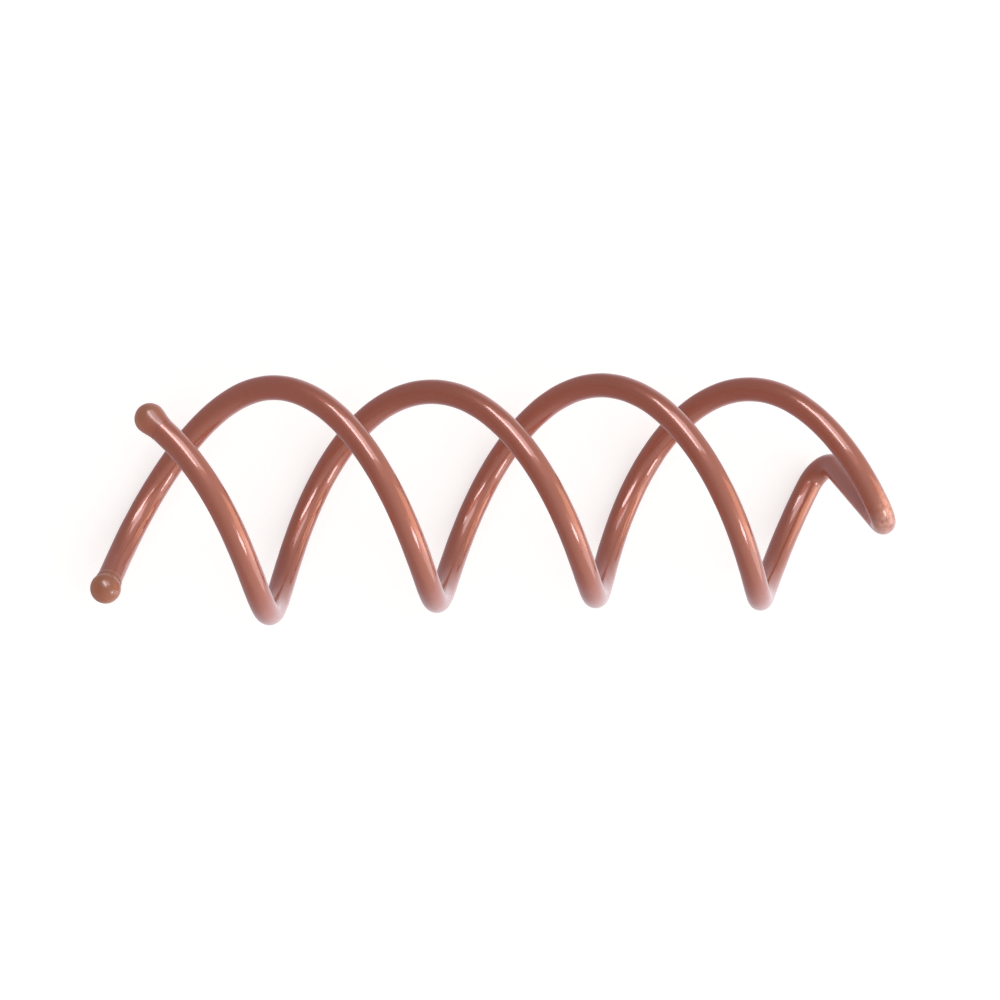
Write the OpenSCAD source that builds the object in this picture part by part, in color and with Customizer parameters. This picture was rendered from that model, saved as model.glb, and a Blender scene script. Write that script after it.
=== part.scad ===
// Spiral bun pin: one stiff enamelled wire, doubled at a bar and coiled into two legs that
// run half a turn apart as a double corkscrew, with a drop of resin over each open end.
// X runs along the coil from the tips to the bar, Y is across it and Z is up. The pin lies
// on the plane Z = 0, and the origin is under the middle of its box.

/* [Wire] */
// Diameter of the wire over its enamel
wire_d = 2.3; // [1.6:0.1:3]

/* [Coil] */
// Outside width of an even coil, across Y
coil_w = 21.3; // [18:0.1:28]
// Outside height of the coil as it lies, pressed a little flat
coil_h = 20.4; // [17:0.1:27]
// Advance of one leg in a full turn
pitch = 32.7; // [26:0.1:42]
// Turns of each leg between its straight tip and the bar
turns = 2.13; // [1.6:0.01:3.2]

/* [Bar] */
// Angle past the coil's highest point where the upper leg leaves it for the bar
upper_past = 7; // [0:1:20]
// Angle past the coil's lowest point where the lower leg leaves it for the bar
lower_past = 3; // [0:1:20]
// Straight run of each leg between the coil and its bend
bar_run = 0.2; // [0.1:0.1:3]
// Radius of the two bends, at the middle of the wire
bend_r = 2.3; // [1.8:0.1:3.5]

/* [Tips] */
// Straight end of the upper leg, up to the middle of its drop
upper_run = 2.5; // [1.8:0.1:6]
// Straight end of the lower leg, up to the middle of its drop
lower_run = 3.3; // [1.8:0.1:6]
// Thickness of the resin at the middle of each drop
resin_t = 0.2; // [0.15:0.05:0.8]
// Length of the resin that tapers down the wire behind the middle of its drop
skirt_l = 1.5; // [1.1:0.1:1.8]
// Clearance between the wire and the resin
tip_gap = 0.03; // [0.02:0.01:0.06]

/* [Hidden] */
enamel = "#965a50";

// Unevenness of the hand-bent turns. PLACE is how many half turns before the bar a row
// stands: the bar, each crown of the coil, and the tip. WIDTH is the crown's share of the
// half width, and SHIFT is how far it stands towards the bar, as a share of the pitch.
PLACE = 0;
WIDTH = 1;
SHIFT = 2;
UPPER_TURNS = [
    [0.0, 0.97, -0.021],
    [0.5, 1.02, -0.019],
    [1.5, 0.97, -0.003],
    [2.5, 1.02, -0.003],
    [3.5, 1.06,  0.007],
    [4.3, 0.95, -0.003],
];
LOWER_TURNS = [
    [0.0, 0.98,  0.040],
    [0.5, 1.03,  0.003],
    [1.5, 1.07,  0.006],
    [2.5, 0.98, -0.001],
    [3.5, 1.07,  0.011],
    [4.3, 0.87, -0.008],
];

// The wire's section is a polygon round the true circle, and its rings are evenly turned
wire_sides = 16;
rings_per_turn = 48;
bend_rings = 9;
ring_step = 360 / rings_per_turn;
wire_r = wire_d / 2;
corner_r = wire_r / cos(180 / wire_sides);
half_w = coil_w / 2 - wire_r;
half_h = coil_h / 2 - wire_r;

// Where each leg leaves the coil for the bar, as an angle from the coil's lowest point
upper_exit = 180 + upper_past;
lower_exit = lower_past;

// A resin drop: its socket, its outside, its lip on the wire and the wire's end in it
round_sides = 64;
socket_r = corner_r + tip_gap;
drop_r = socket_r + resin_t;
lip_r = socket_r + resin_t * 0.4;
shoulder_angle = 20;
shoulder_r = drop_r * cos(shoulder_angle);
shoulder_l = drop_r * sin(shoulder_angle);
wire_past = wire_r / 4;

function unit(v) = v / norm(v);
function reversed(list) = [for (i = [len(list) - 1 : -1 : 0]) list[i]];

// One column of a table of turns at a place between its rows, blended smoothly
function uneven(table, column, place) =
    let (
        row = max([for (i = [0 : len(table) - 2]) if (i == 0 || place > table[i][PLACE]) i]),
        near = table[row],
        far = table[row + 1],
        share = max(0, min(1, (place - near[PLACE]) / (far[PLACE] - near[PLACE])))
    )
    near[column] + (far[column] - near[column]) * (1 - cos(180 * share)) / 2;

// Middle of the wire where a leg stands at an angle. X is counted from the end of the coil,
// and Y and Z from its axis.
function on_leg(table, exit, angle) =
    let (place = (exit - angle) / 180)
    [
        pitch * ((angle - exit) / 360 + uneven(table, SHIFT, place)),
        half_w * uneven(table, WIDTH, place) * sin(angle),
        -half_h * cos(angle)
    ];

// Direction of a leg at an angle, towards the bar
near_angle = 0.1;
function heading(table, exit, angle) =
    unit(on_leg(table, exit, angle + near_angle) - on_leg(table, exit, angle - near_angle));

// Rings of a leg from its straight tip to the bar. They stand half a step to either side of
// the lowest point, so that each turn lies on a flat.
function leg_rings(table, exit) =
    let (start = exit - 360 * turns)
    [
        on_leg(table, exit, start),
        for (i = [floor(start / ring_step) : ceil(exit / ring_step)])
            let (angle = (i + 0.5) * ring_step)
            if (angle > start + ring_step / 4 && angle < exit - ring_step / 4)
                on_leg(table, exit, angle),
        on_leg(table, exit, exit)
    ];

upper_leg = leg_rings(UPPER_TURNS, upper_exit);
lower_leg = leg_rings(LOWER_TURNS, lower_exit);
upper_end = upper_leg[len(upper_leg) - 1];
lower_end = lower_leg[len(lower_leg) - 1];
upper_heading = heading(UPPER_TURNS, upper_exit, upper_exit);
lower_heading = heading(LOWER_TURNS, lower_exit, lower_exit);

// Middle of each drop and the way its leg points there
upper_out = -heading(UPPER_TURNS, upper_exit, upper_exit - 360 * turns);
lower_out = -heading(LOWER_TURNS, lower_exit, lower_exit - 360 * turns);
upper_drop = upper_leg[0] + upper_out * upper_run;
lower_drop = lower_leg[0] + lower_out * lower_run;

// How far a bend starts before the sharp corner between two directions away from it
function bend_lead(back, ahead) = bend_r / tan(acos(back * ahead) / 2);

// How far past the coil the sharp corners of the bar stand, for the upper and lower leg. The
// direction of the bar depends on them, so each pass starts from what the last one found.
corner_passes = 8;
function corner_reach(reach, passes) =
    passes < 1
        ? reach
        : let (
            upper_corner = upper_end + upper_heading * reach[0],
            lower_corner = lower_end + lower_heading * reach[1],
            down = unit(lower_corner - upper_corner)
        )
        corner_reach(
            [
                bar_run + bend_lead(-upper_heading, down),
                bar_run + bend_lead(-lower_heading, -down)
            ],
            passes - 1
        );
reach = corner_reach([bend_r, bend_r], corner_passes);
upper_corner = upper_end + upper_heading * reach[0];
lower_corner = lower_end + lower_heading * reach[1];

// Rings round a sharp corner, from the straight before it to the straight after it
function bend(before, corner, after) =
    let (
        back = unit(before - corner),
        ahead = unit(after - corner),
        half = acos(back * ahead) / 2,
        centre = corner + unit(back + ahead) * bend_r / sin(half),
        start = corner + back * bend_r / tan(half) - centre
    )
    [
        for (i = [0 : bend_rings])
            let (turn = (180 - 2 * half) * i / bend_rings)
            centre + start * cos(turn) - back * bend_r * sin(turn)
    ];

// Middle of the wire from the upper tip, round the bar and back to the lower tip
wire_path = [
    upper_drop + upper_out * wire_past,
    each upper_leg,
    each bend(upper_end, upper_corner, lower_corner),
    each bend(upper_corner, lower_corner, lower_end),
    each reversed(lower_leg),
    lower_drop + lower_out * wire_past,
];

// The corners of one ring. A flat of each ring faces away from the coil's axis, which stops
// a little short of the bar.
axis_end = -wire_d;
function ring(centre, along) =
    let (
        away = [max(0, centre.x - axis_end), centre.y, centre.z],
        outward = unit(away - along * (away * along)),
        across = cross(along, outward)
    )
    [
        for (side = [0 : wire_sides - 1])
            let (turn = 360 * (side + 0.5) / wire_sides)
            centre + corner_r * (outward * cos(turn) + across * sin(turn))
    ];

last_ring = len(wire_path) - 1;
function along_path(i) =
    let (
        before = i == 0 ? wire_path[0] : wire_path[i - 1],
        after = i == last_ring ? wire_path[last_ring] : wire_path[i + 1],
        here = wire_path[i]
    )
    i == 0 || i == last_ring
        ? unit(after - before)
        : unit(unit(here - before) + unit(after - here));

wire_points = [for (i = [0 : last_ring]) each ring(wire_path[i], along_path(i))];
function corner_index(ring, side) = ring * wire_sides + side % wire_sides;
wire_faces = [
    [for (side = [0 : wire_sides - 1]) corner_index(0, side)],
    for (i = [0 : last_ring - 1], side = [0 : wire_sides - 1])
        each [
            [corner_index(i, side), corner_index(i + 1, side), corner_index(i + 1, side + 1)],
            [corner_index(i, side), corner_index(i + 1, side + 1), corner_index(i, side + 1)],
        ],
    [for (side = [wire_sides - 1 : -1 : 0]) corner_index(last_ring, side)],
];

// The move that centres the pin's box over the origin and sets its lowest turns on Z = 0
function lowest(axis) = min([for (point = wire_points) point[axis]]);
function highest(axis) = max([for (point = wire_points) point[axis]]);
box_start = min(upper_drop.x, lower_drop.x) - drop_r;
seat = [-(box_start + highest(0)) / 2, -(lowest(1) + highest(1)) / 2, -lowest(2)];

// A resin drop with its middle at the origin, open below where its wire comes in
module resin_drop() {
    difference() {
        union() {
            sphere(r = drop_r, $fn = round_sides);
            translate([0, 0, -skirt_l])
                cylinder(h = skirt_l - shoulder_l, r1 = lip_r, r2 = shoulder_r, $fn = round_sides);
        }
        translate([0, 0, -2 * skirt_l])
            cylinder(h = 2 * skirt_l + wire_past + tip_gap, r = socket_r, $fn = round_sides);
    }
}

// A resin drop in its place, turned to point along its leg
module drop_on_leg(middle, out) {
    translate(seat + middle)
        rotate([0, acos(out.z), atan2(out.y, out.x)])
            resin_drop();
}

module coil_wire() {
    color(enamel)
        translate(seat)
            polyhedron(points = wire_points, faces = wire_faces, convexity = 10);
}

module upper_tip_ball() {
    color(enamel) drop_on_leg(upper_drop, upper_out);
}

module lower_tip_ball() {
    color(enamel) drop_on_leg(lower_drop, lower_out);
}

coil_wire();
upper_tip_ball();
lower_tip_ball();
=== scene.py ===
import math

import bpy
from mathutils import Matrix, Vector, noise


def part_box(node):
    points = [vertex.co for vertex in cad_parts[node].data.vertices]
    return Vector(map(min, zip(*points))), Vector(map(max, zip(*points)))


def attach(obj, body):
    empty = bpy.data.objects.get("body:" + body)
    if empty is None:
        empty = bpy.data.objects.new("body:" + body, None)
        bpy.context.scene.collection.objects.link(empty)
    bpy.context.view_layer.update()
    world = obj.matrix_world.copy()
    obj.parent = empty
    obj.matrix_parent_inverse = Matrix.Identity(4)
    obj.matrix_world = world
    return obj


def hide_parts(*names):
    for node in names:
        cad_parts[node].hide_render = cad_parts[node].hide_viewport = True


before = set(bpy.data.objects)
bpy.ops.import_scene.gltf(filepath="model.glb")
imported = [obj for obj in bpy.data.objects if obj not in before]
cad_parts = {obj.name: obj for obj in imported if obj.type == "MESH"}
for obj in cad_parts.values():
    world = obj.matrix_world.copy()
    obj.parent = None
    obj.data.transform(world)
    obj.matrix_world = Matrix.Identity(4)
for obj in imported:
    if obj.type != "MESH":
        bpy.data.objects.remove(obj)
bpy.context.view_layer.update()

MM = 0.001

# Sizes of the pin, in millimetres
WIRE_D = 2.3
COIL_W = 21.3
COIL_H = 20.4
PITCH = 32.7
BAR_RUN = 0.2
BEND_R = 2.3
UPPER_RUN = 2.5
LOWER_RUN = 3.3
DROP_R = 1.4
SKIRT_L = 1.5

# Turns of each leg, and how many degrees past the coil's highest point the upper leg leaves it
# for the bar, and past its lowest point the lower leg
TURNS = 2.13
UPPER_PAST = 7
LOWER_PAST = 3

WIRE_R = WIRE_D / 2
HALF_W = COIL_W / 2 - WIRE_R
HALF_H = COIL_H / 2 - WIRE_R
WIRE_PAST = WIRE_R / 4

# The hand-bent turns. A row has its place in half turns before the bar, its share of the
# half width and its shift towards the bar as a share of the pitch.
PLACE, WIDTH, SHIFT = 0, 1, 2
UPPER_TURNS = [
    (0.0, 0.97, -0.021),
    (0.5, 1.02, -0.019),
    (1.5, 0.97, -0.003),
    (2.5, 1.02, -0.003),
    (3.5, 1.06, 0.007),
    (4.3, 0.95, -0.003),
]
LOWER_TURNS = [
    (0.0, 0.98, 0.040),
    (0.5, 1.03, 0.003),
    (1.5, 1.07, 0.006),
    (2.5, 0.98, -0.001),
    (3.5, 1.07, 0.011),
    (4.3, 0.87, -0.008),
]

# The enamel's unevenness: how deep its slow wave and its ripple are in millimetres, and how
# often each comes in a millimetre
WAVE, WAVES_PER_MM = 0.006, 0.16
RIPPLE, RIPPLES_PER_MM = 0.013, 0.7

# The drops' sockets: their clearance round the wire and past its end, and how the end is
# rounded, in millimetres and as the share of it that is flat
BORE_GAP, END_GAP, END_ROUNDING, END_FLAT = 0.003, 0.02, 0.05, 0.7

# The drops' unevenness, as a share of their size, and how often it comes in a millimetre
SWELL, SWELLS_PER_MM = 0.006, 1.3

# The smooth drop: how far its lip stands off the wire, how long the lip is, and how far short
# of the ball's radius the taper ends
LIP, LIP_L, TAPER_SHORT = 0.008, 0.01, 0.01

# The necked drop's collar and neck: how far each ring stands off the wire, and its height
COLLAR = [(0.01, -1.32), (0.03, -1.29), (0.045, -1.22), (0.045, -1.08)]
NECK = [(0.05, -0.97), (0.075, -0.89)]
NECK_ANGLE = -34

# How finely the meshes are made: degrees of a leg and millimetres of a straight from ring to
# ring, rings in a bend, a taper and a dome, and vertices in a ring
LEG_STEP = 2.5
RUN_STEP = 0.4
BEND_RINGS = 24
TAPER_RINGS = 14
DOME_RINGS = 20
SIDES = 48


# The path of the wire

def eased(share):
    """A share from 0 to 1 that starts and ends gently."""
    return (1 - math.cos(math.pi * share)) / 2


def uneven(table, column, place):
    """One column of a table of turns at a place between its rows, blended smoothly."""
    row = max(i for i in range(len(table) - 1) if i == 0 or place > table[i][PLACE])
    near, far = table[row], table[row + 1]
    share = min(1.0, max(0.0, (place - near[PLACE]) / (far[PLACE] - near[PLACE])))
    return near[column] + (far[column] - near[column]) * eased(share)


class Leg:
    """One corkscrew leg of the wire, in millimetres and degrees about the coil's axis."""

    # Degrees to either side of a spot whose points give its heading
    NEAR = 0.1

    def __init__(self, table, exit_angle):
        self.table = table
        self.exit = exit_angle
        self.start = exit_angle - 360 * TURNS

    def at(self, angle):
        place = (self.exit - angle) / 180
        turn = math.radians(angle)
        along = (angle - self.exit) / 360 + uneven(self.table, SHIFT, place)
        across = uneven(self.table, WIDTH, place) * math.sin(turn)
        return Vector((PITCH * along, HALF_W * across, -HALF_H * math.cos(turn)))

    def heading(self, angle):
        return (self.at(angle + self.NEAR) - self.at(angle - self.NEAR)).normalized()

    def points(self):
        count = round(360 * TURNS / LEG_STEP)
        return [self.at(self.start + 360 * TURNS * i / count) for i in range(count + 1)]

    def tip(self, run):
        """The middle of the drop at the end of the straight, and the way it points."""
        out = -self.heading(self.start)
        return self.at(self.start) + out * run, out


def straight(start, end):
    """Points from start to end, without either end."""
    count = max(2, round((end - start).length / RUN_STEP))
    return [start.lerp(end, i / count) for i in range(1, count)]


def bend_lead(back, ahead):
    """How far a bend starts before the sharp corner between two directions away from it."""
    return BEND_R / math.tan(back.angle(ahead) / 2)


def bend(before, corner, after):
    """Points round a corner between two straights, on an arc of the bend's radius."""
    back = (before - corner).normalized()
    ahead = (after - corner).normalized()
    half = back.angle(ahead) / 2
    centre = corner + (back + ahead).normalized() * BEND_R / math.sin(half)
    start = corner + back * BEND_R / math.tan(half) - centre
    turns = [(math.pi - 2 * half) * i / BEND_RINGS for i in range(BEND_RINGS + 1)]
    return [centre + start * math.cos(t) - back * BEND_R * math.sin(t) for t in turns]


def bar_corners(upper, lower):
    """The sharp corners of the bar. Its direction depends on them, so they are found in passes."""
    passes = 8
    ends = upper.at(upper.exit), lower.at(lower.exit)
    headings = upper.heading(upper.exit), lower.heading(lower.exit)
    reach = [BEND_R, BEND_R]
    for _ in range(passes):
        corners = [end + way * r for end, way, r in zip(ends, headings, reach)]
        down = (corners[1] - corners[0]).normalized()
        reach = [
            BAR_RUN + bend_lead(-headings[0], down),
            BAR_RUN + bend_lead(-headings[1], -down),
        ]
    return [end + way * r for end, way, r in zip(ends, headings, reach)]


def wire_path(upper, lower):
    """The middle of the wire from the upper tip, round the bar and back to the lower tip."""
    upper_drop, upper_out = upper.tip(UPPER_RUN)
    lower_drop, lower_out = lower.tip(LOWER_RUN)
    upper_corner, lower_corner = bar_corners(upper, lower)
    high = upper.points()
    low = lower.points()[::-1]
    first = bend(high[-1], upper_corner, lower_corner)
    second = bend(upper_corner, lower_corner, low[0])
    upper_end = upper_drop + upper_out * WIRE_PAST
    lower_end = lower_drop + lower_out * WIRE_PAST
    path = [upper_end, *straight(upper_end, high[0]), *high, *first]
    path += [*straight(first[-1], second[0]), *second, *low]
    return path + [*straight(low[-1], lower_end), lower_end]


def seat_of(path):
    """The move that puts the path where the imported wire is, by its sides and its bar."""
    low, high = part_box("coil_wire")
    middle, bar = (low + high) / 2 / MM, high.x / MM - WIRE_R
    ends = [(min(p[i] for p in path), max(p[i] for p in path)) for i in range(3)]
    return Vector((bar - ends[0][1], middle.y - sum(ends[1]) / 2, middle.z - sum(ends[2]) / 2))


# Meshes

def tube_mesh(path, radius_at, axis_end):
    """Rings of vertices swept along a path, closed at both ends.

    Each ring starts on the side away from the axis along X that stops at axis_end."""
    vertices, faces = [], []
    for i, here in enumerate(path):
        before, after = path[max(i - 1, 0)], path[min(i + 1, len(path) - 1)]
        along = (after - before).normalized()
        away = here - axis_end
        away.x = max(0.0, away.x)
        outward = (away - along * away.dot(along)).normalized()
        across = along.cross(outward)
        for side in range(SIDES):
            turn = 2 * math.pi * side / SIDES
            spoke = outward * math.cos(turn) + across * math.sin(turn)
            vertices.append(here + spoke * radius_at(here + spoke * WIRE_R))
    for i in range(len(path) - 1):
        for side in range(SIDES):
            a, b = i * SIDES + side, i * SIDES + (side + 1) % SIDES
            faces.append((a, b, b + SIDES, a + SIDES))
    last = (len(path) - 1) * SIDES
    faces.append(tuple(reversed(range(SIDES))))
    faces.append(tuple(last + side for side in range(SIDES)))
    return vertices, faces


def turned_mesh(profile, uneven_at):
    """A profile of (radius, height) pairs turned about Z. A radius of 0 closes an end."""
    vertices, faces, rings = [], [], []
    for radius, height in profile:
        if radius == 0:
            rings.append([len(vertices)])
            vertices.append(Vector((0, 0, height)))
            continue
        ring = []
        for side in range(SIDES):
            turn = 2 * math.pi * side / SIDES
            spot = Vector((radius * math.cos(turn), radius * math.sin(turn), height))
            ring.append(len(vertices))
            vertices.append(spot * (1 - uneven_at(spot)))
        rings.append(ring)
    for low, high in zip(rings, rings[1:]):
        for side in range(SIDES):
            after = (side + 1) % SIDES
            corners = [low[side % len(low)], low[after % len(low)]]
            corners += [high[after % len(high)], high[side % len(high)]]
            faces.append(tuple(dict.fromkeys(corners)))
    return vertices, faces


def piece_from(name, vertices, faces, place=Matrix.Identity(4)):
    """An object in metres from vertices in millimetres, smooth shaded."""
    mesh = bpy.data.meshes.new(name)
    mesh.from_pydata([place @ v * MM for v in vertices], [], faces)
    mesh.validate()
    mesh.shade_smooth()
    thing = bpy.data.objects.new(name, mesh)
    bpy.context.scene.collection.objects.link(thing)
    return thing


# The pieces

def enamel_radius(spot):
    """The wire's radius: the enamel lies a touch unevenly, and never proud of the wire's size."""
    wave = noise.noise(spot * WAVES_PER_MM, noise_basis="PERLIN_NEW")
    ripple = noise.noise(spot * RIPPLES_PER_MM, noise_basis="PERLIN_NEW")
    return WIRE_R - WAVE * (1 + wave) - RIPPLE * (1 + ripple)


def coil_wire(path, axis_end):
    vertices, faces = tube_mesh(path, enamel_radius, axis_end)
    return piece_from("coiled_wire", vertices, faces)


def socket_profile(lip):
    """The inside of a drop, from past the wire's end down to its lip."""
    end, bore = WIRE_PAST + END_GAP, WIRE_R + BORE_GAP
    return [(0, end), (bore * END_FLAT, end), (bore, end - END_ROUNDING), (bore, lip)]


def dome_profile(lowest_angle):
    """The round outside of a drop, from an angle below its middle up to its top."""
    rise = 90 - lowest_angle
    angles = [math.radians(lowest_angle + rise * i / DOME_RINGS) for i in range(DOME_RINGS)]
    return [(DROP_R * math.cos(a), DROP_R * math.sin(a)) for a in angles] + [(0, DROP_R)]


def smooth_drop():
    """A drop that runs down the wire in one long taper, with a tight ring at its lip."""
    lip = WIRE_R + LIP
    swelling = DROP_R - TAPER_SHORT - lip
    taper = [(lip, -SKIRT_L), (lip, -SKIRT_L + LIP_L)]
    for i in range(1, TAPER_RINGS):
        share = i / TAPER_RINGS
        taper.append((lip + swelling * eased(share), -SKIRT_L * (1 - share)))
    return socket_profile(-SKIRT_L) + taper + dome_profile(0)


def necked_drop():
    """A drop that stands on the wire as a ball, with a fine collar of resin under its neck."""
    rings = [(WIRE_R + thickness, height) for thickness, height in COLLAR + NECK]
    return socket_profile(rings[0][1]) + rings + dome_profile(NECK_ANGLE)


def drop_swell(spot):
    """How far in a drop's surface lies at a spot, as a share of its size."""
    return SWELL * (1 + noise.noise(spot * SWELLS_PER_MM))


def tip_drop(name, profile, middle, out, stain=0.0):
    """A resin drop in its place, turned to point along its leg, and stained towards its neck."""
    fade = 0.6
    vertices, faces = turned_mesh(profile, drop_swell)
    turn = out.to_track_quat("Z", "Y").to_matrix().to_4x4()
    drop = piece_from(name, vertices, faces, Matrix.Translation(middle) @ turn)
    neck = drop.data.attributes.new("neck", "FLOAT", "POINT")
    for vertex, share in zip(vertices, neck.data):
        share.value = stain * min(1.0, max(0.0, -vertex.z / SKIRT_L)) ** fade
    return drop


# Materials

# Sockets of a Mix node that blends colours
SHARE, FIRST, SECOND, BLEND = 0, 6, 7, 2


class Value:
    """A socket that can stand in a Python expression, which adds its Math nodes."""

    def __init__(self, finish, socket):
        self.finish = finish
        self.socket = socket

    def math(self, operation, *inputs):
        settings = {"operation": operation}
        return self.finish.node("ShaderNodeMath", settings, dict(enumerate(inputs)))

    def __add__(self, other):
        return self.math("ADD", self, other)

    def __sub__(self, other):
        return self.math("SUBTRACT", self, other)

    def __rsub__(self, other):
        return self.math("SUBTRACT", other, self)

    def __mul__(self, other):
        return self.math("MULTIPLY", self, other)

    __radd__ = __add__
    __rmul__ = __mul__

    def between(self, low, high):
        """0 up to low and 1 from high, blended smoothly."""
        sockets = {"Value": self, "From Min": low, "From Max": high}
        settings = {"interpolation_type": "SMOOTHSTEP"}
        return self.finish.node("ShaderNodeMapRange", settings, sockets)


class Finish:
    """A material or a world made from nodes."""

    def __init__(self, owner):
        owner.use_nodes = True
        self.owner = owner
        self.tree = owner.node_tree

    def node(self, kind, settings, sockets, output=0):
        made = self.tree.nodes.new(kind)
        for name, setting in settings.items():
            setattr(made, name, setting)
        for name, value in sockets.items():
            self.feed(made.inputs[name], value)
        return Value(self, made.outputs[output])

    def feed(self, socket, value):
        if isinstance(value, Value):
            self.tree.links.new(value.socket, socket)
        else:
            socket.default_value = value

    def shader(self, **sockets):
        """Sets sockets of the finish's own shader, named with _ for a space."""
        own = next(n for n in self.tree.nodes if n.type in {"BSDF_PRINCIPLED", "BACKGROUND"})
        for name, value in sockets.items():
            self.feed(own.inputs[name.replace("_", " ")], value)

    def place(self):
        """The spot on the piece, in metres."""
        return self.node("ShaderNodeTexCoord", {}, {}, "Object")

    def parts(self, vector):
        """The X, Y and Z of a vector."""
        sockets = {"Vector": vector}
        return [self.node("ShaderNodeSeparateXYZ", {}, sockets, axis) for axis in "XYZ"]

    def grain(self, size, detail=2.0, roughness=0.5):
        """Noise from 0 to 1 with spots about as large as size, in millimetres."""
        sockets = {
            "Vector": self.place(),
            "Scale": 1 / (size * MM),
            "Detail": detail,
            "Roughness": roughness,
        }
        return self.node("ShaderNodeTexNoise", {}, sockets)

    def mix(self, share, first, second):
        """One colour blended into another."""
        sockets = {SHARE: share, FIRST: first, SECOND: second}
        return self.node("ShaderNodeMix", {"data_type": "RGBA"}, sockets, BLEND)

    def bump(self, height, depth, under=None):
        """A bump as deep as depth, in millimetres, laid over the one that is given as under."""
        sockets = {"Height": height, "Distance": depth * MM, "Strength": 1.0}
        if under:
            sockets["Normal"] = under
        return self.node("ShaderNodeBump", {}, sockets)


def linear(red, green, blue):
    """A colour for a socket, from its values on a screen from 0 to 255."""
    def light(value):
        share = value / 255
        return share / 12.92 if share <= 0.04045 else ((share + 0.055) / 1.055) ** 2.4
    return (light(red), light(green), light(blue), 1.0)


def wear_and_sheen_bend(finish):
    """How much pale colour is painted in blotches on the bend at the top of the bar, and nowhere
    else: partly worn enamel and partly a painted reflection of bright surroundings.
    """
    blotch = finish.grain(0.6, detail=3.0, roughness=0.6).between(0.25, 0.65)
    along, _, up = finish.parts(finish.place())
    return along.between(33 * MM, 34.4 * MM) * up.between(14 * MM, 17 * MM) * blotch


def wire_enamel():
    """Glossy brown enamel with a pink cast, baked over steel wire, with pale blotches painted at
    one bend: partly wear and partly a painted reflection.
    """
    finish = Finish(bpy.data.materials.new("wire_enamel"))
    drift = finish.grain(14, detail=1.0)
    cloud = finish.grain(3.5, detail=3.0)
    speck = finish.grain(0.22, detail=2.0, roughness=0.7)
    rub = finish.grain(0.9, detail=3.0, roughness=0.6).between(0.55, 0.85)
    wear_and_sheen = wear_and_sheen_bend(finish)
    brown = finish.mix(drift, linear(159, 84, 62), linear(173, 95, 72))
    clouded = finish.mix(cloud * 0.5, brown, linear(172, 93, 69))
    speckled = finish.mix(speck.between(0.55, 0.8) * 0.22, clouded, linear(128, 64, 48))
    rubbed = finish.mix(rub * 0.10, speckled, linear(194, 130, 110))
    peel = finish.bump(finish.grain(1.6, detail=1.0), 0.032)
    dimples = finish.grain(0.75, detail=1.0).between(0.5, 0.8)
    dimpled = finish.bump(dimples, 0.006, under=peel)
    texture = finish.bump(finish.grain(0.35, detail=2.0), 0.0035, under=dimpled)
    finish.shader(
        # Pale blotches at the bar's top bend: a painted reflection of bright surroundings, mottled
        # like worn enamel, where the gloss is also dulled.
        Base_Color=finish.mix(wear_and_sheen * 0.7, rubbed, linear(222, 172, 156)),
        Metallic=0.18,
        Roughness=0.29 + cloud * 0.10 + rub * 0.08 + wear_and_sheen * 0.08,
        Coat_Weight=1 - rub * 0.5 - wear_and_sheen * 0.3,
        Coat_Roughness=0.05,
        Coat_IOR=1.6,
        Specular_IOR_Level=0.4,
        Normal=texture,
    )
    return finish.owner


def tip_resin():
    """Clear tan resin, a little duller than the enamel and with a few fine pits."""
    finish = Finish(bpy.data.materials.new("tip_resin"))
    cloud = finish.grain(1.2, detail=2.0)
    pits = finish.grain(0.3, detail=2.0, roughness=0.6).between(0.66, 0.8)
    neck = finish.node("ShaderNodeAttribute", {"attribute_name": "neck"}, {}, "Fac")
    tan = finish.mix(cloud, linear(160, 92, 60), linear(176, 110, 82))
    stained = finish.mix(neck, tan, linear(168, 92, 70))
    pitted = finish.mix(pits * 0.3, stained, linear(128, 74, 58))
    sag = finish.bump(finish.grain(0.9, detail=1.0), 0.02)
    finish.shader(
        Base_Color=pitted,
        Roughness=0.3 + cloud * 0.1 + pits * 0.15,
        Coat_Weight=0.6 - pits * 0.4,
        Coat_Roughness=0.13,
        Coat_IOR=1.5,
        Normal=finish.bump(1 - pits, 0.004, under=sag),
    )
    return finish.owner


def floor_paper():
    """Plain white paper, lit a little from behind, so that shadows stay faint."""
    finish = Finish(bpy.data.materials.new("floor_paper"))
    finish.shader(
        Base_Color=linear(188, 188, 188),
        Roughness=0.9,
        Specular_IOR_Level=0.0,
        Emission_Color=(1, 1, 1, 1),
        Emission_Strength=0.66,
    )
    return finish.owner


# The stage

def paper_floor():
    """A sheet of paper under the pin, 6 metres each way, which gloss doesn't show."""
    half = 3.0
    corners = [(-half, -half, 0), (half, -half, 0), (half, half, 0), (-half, half, 0)]
    floor = piece_from("floor", [Vector(corner) / MM for corner in corners], [(0, 1, 2, 3)])
    floor.data.materials.append(floor_paper())
    floor.visible_glossy = False


def soft_box(name, start, end, width, radiance, colour, lights_up=False):
    """A strip of light between two directions from the pin, with its width in degrees.

    One that doesn't light things up is only reflected, and gives the highlights alone."""
    reach = 0.5
    start, end = Vector(start).normalized(), Vector(end).normalized()
    out = (start + end).normalized()
    run = (end - start) * reach
    wide = 2 * reach * math.tan(math.radians(width) / 2)
    light = bpy.data.lights.new(name, "AREA")
    light.shape = "RECTANGLE"
    light.size = run.length
    light.size_y = wide
    light.color = colour
    light.energy = radiance * math.pi * run.length * wide
    box = bpy.data.objects.new(name, light)
    along = run.normalized()
    turn = Matrix((along, out.cross(along), out)).transposed().to_4x4()
    box.matrix_world = Matrix.Translation(out * reach) @ turn
    box.visible_camera = False
    box.visible_diffuse = lights_up
    bpy.context.scene.collection.objects.link(box)


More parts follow.
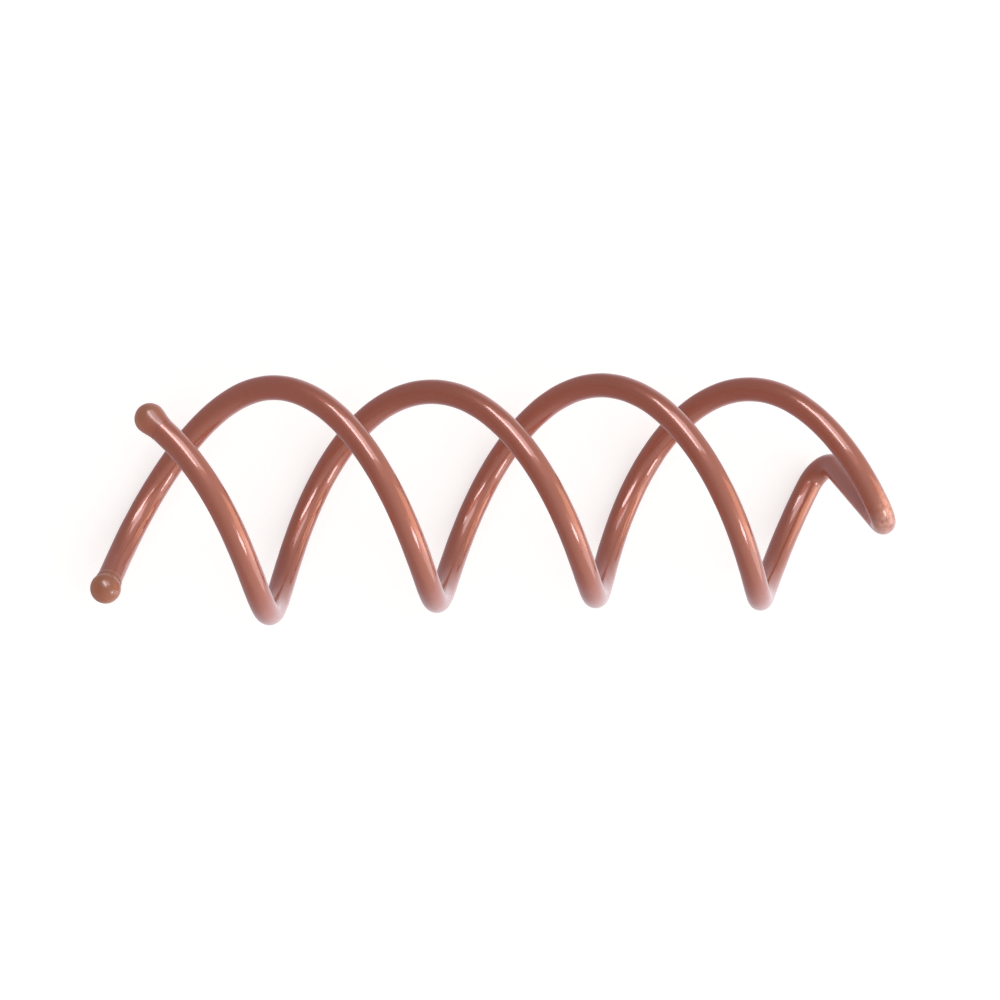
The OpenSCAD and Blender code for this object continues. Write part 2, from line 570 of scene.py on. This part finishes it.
def studio_lights():
    """Two strips for the streaks, a pale screen beside them, a warm one and a low rosy card."""
    cool, warm, rosy = (0.97, 0.94, 1.0), (1, 0.6, 0.36), (1, 0.93, 0.91)
    soft_box("long_strip", (-0.42, 0.82, 0.35), (-0.33, 0.22, 0.92), 13, 9, cool)
    soft_box("short_strip", (0.36, -0.44, 0.82), (0.56, -0.51, 0.65), 15, 9, cool)
    soft_box("side_screen", (-0.14, 0.84, 0.50), (-0.02, 0.36, 0.93), 26, 2.7, cool)
    soft_box("warm_side", (0.85, -0.35, 0.5), (0.85, 0.35, 0.5), 45, 1.8, warm)
    soft_box("low_card", (0.75, -0.60, 0.15), (0.85, -0.05, 0.35), 40, 1.3, rosy, lights_up=True)


def studio_room():
    """Pale walls, brightest overhead past the bar, and what gloss shows in place of the paper."""
    world = bpy.data.worlds.new("studio_room")
    bpy.context.scene.world = world
    room = Finish(world)
    way = room.node("ShaderNodeTexCoord", {}, {}, "Generated")
    bright_side = Vector((0.62, -0.25, 0.72)).normalized()
    facing = {0: way, 1: bright_side}
    bright = room.node("ShaderNodeVectorMath", {"operation": "DOT_PRODUCT"}, facing, "Value")
    past_bar, _, up = room.parts(way)
    grey, cream = (0.33, 0.33, 0.35, 1), (1.04, 0.97, 0.92, 1)
    shade, rose = (0.31, 0.30, 0.35, 1), (1.03, 0.92, 0.98, 1)
    backdrop = (0.9, 0.9, 0.9, 1)
    walls = room.mix(bright.between(-0.5, 0.9), grey, cream)
    below = room.mix(past_bar.between(-0.2, 0.7), shade, rose)
    around = room.mix(up.between(-0.25, 0.0), below, walls)
    seen = room.node("ShaderNodeLightPath", {}, {}, "Is Camera Ray")
    room.shader(Color=room.mix(seen, around, backdrop), Strength=1.0)


def photo_camera():
    """Looks down on the pin from over its tips, with a long lens."""
    tilt, roll = math.radians(24.14), math.radians(0.79)
    aside, across, distance = -0.148, -0.297, 582.9
    lens = bpy.data.cameras.new("camera")
    lens.sensor_width = 36
    lens.lens = 229.7
    camera = bpy.data.objects.new("camera", lens)
    turn = Matrix.Rotation(-roll, 4, "Z") @ Matrix.Rotation(-tilt, 4, "Y")
    spot = Vector((0, 0, COIL_H / 2)) + turn @ Vector((aside, across, distance))
    camera.matrix_world = Matrix.Translation(spot * MM) @ turn
    bpy.context.scene.collection.objects.link(camera)
    bpy.context.scene.camera = camera


# The whole pin

def dress(piece, node, finish):
    """Gives a piece its finish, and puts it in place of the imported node."""
    piece.data.materials.append(finish)
    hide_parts(node)
    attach(piece, "root")


def build_pin():
    upper = Leg(UPPER_TURNS, 180 + UPPER_PAST)
    lower = Leg(LOWER_TURNS, LOWER_PAST)
    path = wire_path(upper, lower)
    seat = seat_of(path)
    axis_end = seat - Vector((WIRE_D, 0, 0))
    wire = coil_wire([spot + seat for spot in path], axis_end)
    upper_middle, upper_out = upper.tip(UPPER_RUN)
    lower_middle, lower_out = lower.tip(LOWER_RUN)
    high = tip_drop("upper_tip_drop", smooth_drop(), upper_middle + seat, upper_out, stain=1.0)
    low = tip_drop("lower_tip_drop", necked_drop(), lower_middle + seat, lower_out)
    resin = tip_resin()
    dress(wire, "coil_wire", wire_enamel())
    dress(high, "upper_tip_ball", resin)
    dress(low, "lower_tip_ball", resin)


build_pin()
paper_floor()
studio_lights()
studio_room()
photo_camera()
bpy.context.scene.view_settings.view_transform = "Standard"
